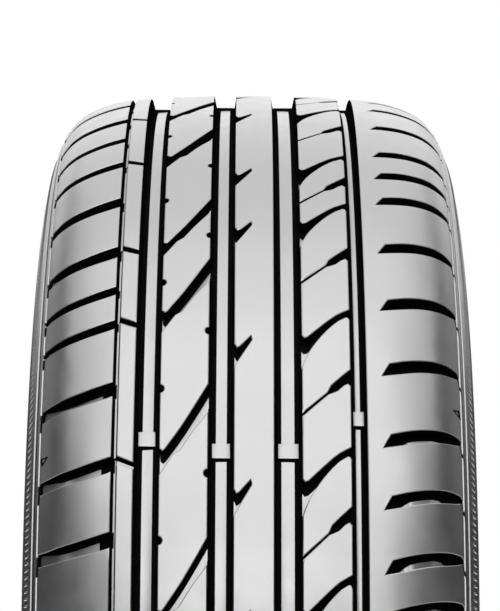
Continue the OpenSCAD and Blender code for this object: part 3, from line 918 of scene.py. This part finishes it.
# small triangles on both shoulders that show where the wear bars are: corners in mm, across, and round from the angle
wearMarks = {
    "angle": 17.45,
    "stroke": 0.55,
    "low": -0.2,
    "high": 0.12,
    "corners": [[(-101.2, 1.9), (-97.9, 1.4), (-100.6, -1.7)], [(98.0, 28.2), (100.7, 29.6), (101.4, 25.8)]],
}


def raised(s, lift):  # across and out from the axis, of a point on the section's outside raised by lift
    a = math.radians(float(angleAt(s)))
    across, out = (np.interp(s, halfAlong[:outerCount], half[:outerCount, i]) for i in (0, 1))
    return across + lift * math.sin(a), out + lift * math.cos(a)


def onTyre(w, t, lift):
    across, out = raised(abs(float(along(w))), lift)
    a = t / section["outerRadius"]
    return Vector((out * math.cos(a), math.copysign(across, w), out * math.sin(a))) * mm


def joinRings(bm, rings):  # a closed bar through rings of four
    for one, two in zip(rings, rings[1:]):
        for j in range(4):
            bm.faces.new((one[j], one[(j + 1) % 4], two[(j + 1) % 4], two[j]))
    bm.faces.new(rings[0])
    bm.faces.new(rings[-1])


def markSet():
    bm = bmesh.new()
    wide, low, high = wearMarks["stroke"] / 2, wearMarks["low"], wearMarks["high"]
    for corners in wearMarks["corners"]:
        for a, b in zip(corners, corners[1:] + corners[:1]):
            run = np.array(b) - np.array(a)
            run = run / np.linalg.norm(run)
            aside = np.array((-run[1], run[0])) * wide
            rings = []
            for end, more in ((np.array(a), -wide), (np.array(b), wide)):
                end = end + run * more
                rings.append([bm.verts.new(onTyre(*(end + side * aside), lift))
                    for side, lift in ((-1, low), (1, low), (1, high), (-1, high))])
            joinRings(bm, rings)
    bmesh.ops.recalc_face_normals(bm, faces=bm.faces)
    # painted shade: the strokes are wholly in the near-black rubber, standing in for the shade in engraved marks
    return fromBmesh(bm, "markSet", [True] * len(bm.faces))


shoulderMarks = copiesRound(markSet(), "wearMarks", wearBars["sets"], wearMarks["angle"])
print("wear marks:", len(shoulderMarks.data.polygons), "faces")

# fine radial ridges on both buttresses, without letters: between two angles on the section, tapered at both ends
ridges = {"count": 520, "from": 70.2, "to": 74.6, "wide": 1.5, "low": -0.25, "tip": 0.05, "high": 0.4}


def ridgePair():  # one ridge a side, lying on the section
    bm = bmesh.new()
    wide, top = ridges["wide"] / 2, ridges["wide"] / 6
    for side in (-1, 1):
        rings = []
        for k, high in enumerate((ridges["tip"], ridges["high"], ridges["high"], ridges["tip"])):
            s = alongAngle(ridges["from"] + (ridges["to"] - ridges["from"]) * k / 3)
            ring = []
            for lift, z in ((ridges["low"], -wide), (ridges["low"], wide), (high, top), (high, -top)):
                across, out = raised(s, lift)
                ring.append(bm.verts.new((out * mm, side * across * mm, z * mm)))
            rings.append(ring)
        joinRings(bm, rings)
    bmesh.ops.recalc_face_normals(bm, faces=bm.faces)
    return fromBmesh(bm, "ridgePair")


shoulderRidges = copiesRound(ridgePair(), "shoulderRidges", ridges["count"], 0)
print("shoulder ridges:", len(shoulderRidges.data.polygons), "faces")

for helper in [sectionCurve, pitchMarks, spot, *tiles.values()]:
    bpy.data.objects.remove(helper)

for piece in (tyreBody, grooveBars, shoulderMarks, shoulderRidges):
    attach(piece, "root")
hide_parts("tyre")

# studio: pale floor, white surroundings, an arch of lamps over the tread and a lamp on each side
studio = {
    "floorTone": (0.83, 0.83, 0.83, 1),
    "floorRough": 0.8,
    "floorReach": 4.0,
    "floorGap": 0.0005,
    "sky": 1.0,
    "skyLight": 0.01,
    "archRadius": 1.45,
    "archStep": 0.02,
    "archLamps": [  # angle, width, power
        (8, 0.5, 8), (12, 0.9, 16), (12, 1.6, 6), (32, 1.6, 38), (32, 2.8, 11), (52, 0.9, 11), (52, 2.8, 41),
        (72, 1.6, 13), (72, 2.8, 30), (92, 1.6, 6), (92, 2.8, 19), (112, 1.6, 6), (112, 2.8, 9), (132, 2.8, 14),
        (152, 2.8, 8),
    ],
    "archLength": 0.50,
    "sideRadius": 1.4,
    "sideAngle": 105,
    "sideHeight": 0.75,
    "sideSize": (1.0, 0.8),
    "sideAim": (0.15, 0, 0.1),
    "sidePower": 3.0,
}


def makeFloor():
    mesh = bpy.data.meshes.new("floor")
    reach, level = studio["floorReach"], -section["outerRadius"] * mm - studio["floorGap"]
    corners = [(-reach, -reach, level), (reach, -reach, level), (reach, reach, level), (-reach, reach, level)]
    mesh.from_pydata(corners, [], [(0, 1, 2, 3)])
    material = bpy.data.materials.new("paleFloor")
    material.use_nodes = True
    shader = material.node_tree.nodes["Principled BSDF"]
    shader.inputs["Base Color"].default_value = studio["floorTone"]
    shader.inputs["Roughness"].default_value = studio["floorRough"]
    mesh.materials.append(material)
    floor = bpy.data.objects.new("floor", mesh)
    bpy.context.collection.objects.link(floor)
    return floor


def addLamp(name, place, aim, size, power):
    light = bpy.data.lights.new(name, "AREA")
    light.shape = "RECTANGLE"
    light.size, light.size_y = size
    light.energy = power
    lamp = bpy.data.objects.new(name, light)
    lamp.location = place
    back = (Vector(place) - Vector(aim)).normalized()
    across = Vector((0, 1, 0)) if abs(back.y) < 0.5 else Vector((1, 0, 0))
    up = back.cross(across).normalized()
    lamp.rotation_euler = Matrix((up.cross(back), up, back)).transposed().to_euler()
    lamp.visible_camera = False
    bpy.context.collection.objects.link(lamp)


makeFloor()
world = bpy.data.worlds.new("white")
bpy.context.scene.world = world
world.use_nodes = True
backdrop = world.node_tree.nodes["Background"]
backdrop.inputs["Color"].default_value = (1, 1, 1, 1)
ray = world.node_tree.nodes.new("ShaderNodeLightPath")
level = addNode(world.node_tree, "ShaderNodeMapRange", [("Value", ray.outputs["Is Camera Ray"]),
    ("To Min", studio["skyLight"]), ("To Max", studio["sky"])])
world.node_tree.links.new(level.outputs[0], backdrop.inputs["Strength"])
for angle, wide, power in studio["archLamps"]:
    a = math.radians(angle)
    reach = studio["archRadius"] + studio["archStep"] * wide  # no two in one place
    place = Vector((math.cos(a), 0, math.sin(a))) * reach
    addLamp("archLamp", place, (0, 0, 0), (wide, studio["archLength"]), power)
for sign in (-1, 1):
    a, reach = math.radians(studio["sideAngle"]), studio["sideRadius"]
    place = (reach * math.cos(a), sign * reach * math.sin(a), studio["sideHeight"])
    addLamp("sideLamp", place, studio["sideAim"], studio["sideSize"], studio["sidePower"])

# the camera, as the photograph's perspective gives it
view = {
    "place": (1.7001, -0.0039, 0.0),
    "turn": (96.68, -0.1788, 89.8341),
    "lens": 173.4,
    "sensor": 36.0,
    "nearest": 0.05,
    "photoHeight": 611,
    "pixelsAside": -1,
}
camera = bpy.data.objects.new("camera", bpy.data.cameras.new("camera"))
camera.location = view["place"]
camera.rotation_euler = Euler([math.radians(a) for a in view["turn"]])
camera.data.lens = view["lens"]
camera.data.sensor_width = view["sensor"]
camera.data.shift_x = view["pixelsAside"] / view["photoHeight"]
camera.data.clip_start = view["nearest"]
bpy.context.collection.objects.link(camera)
bpy.context.scene.camera = camera
bpy.context.scene.view_settings.view_transform = "Standard"
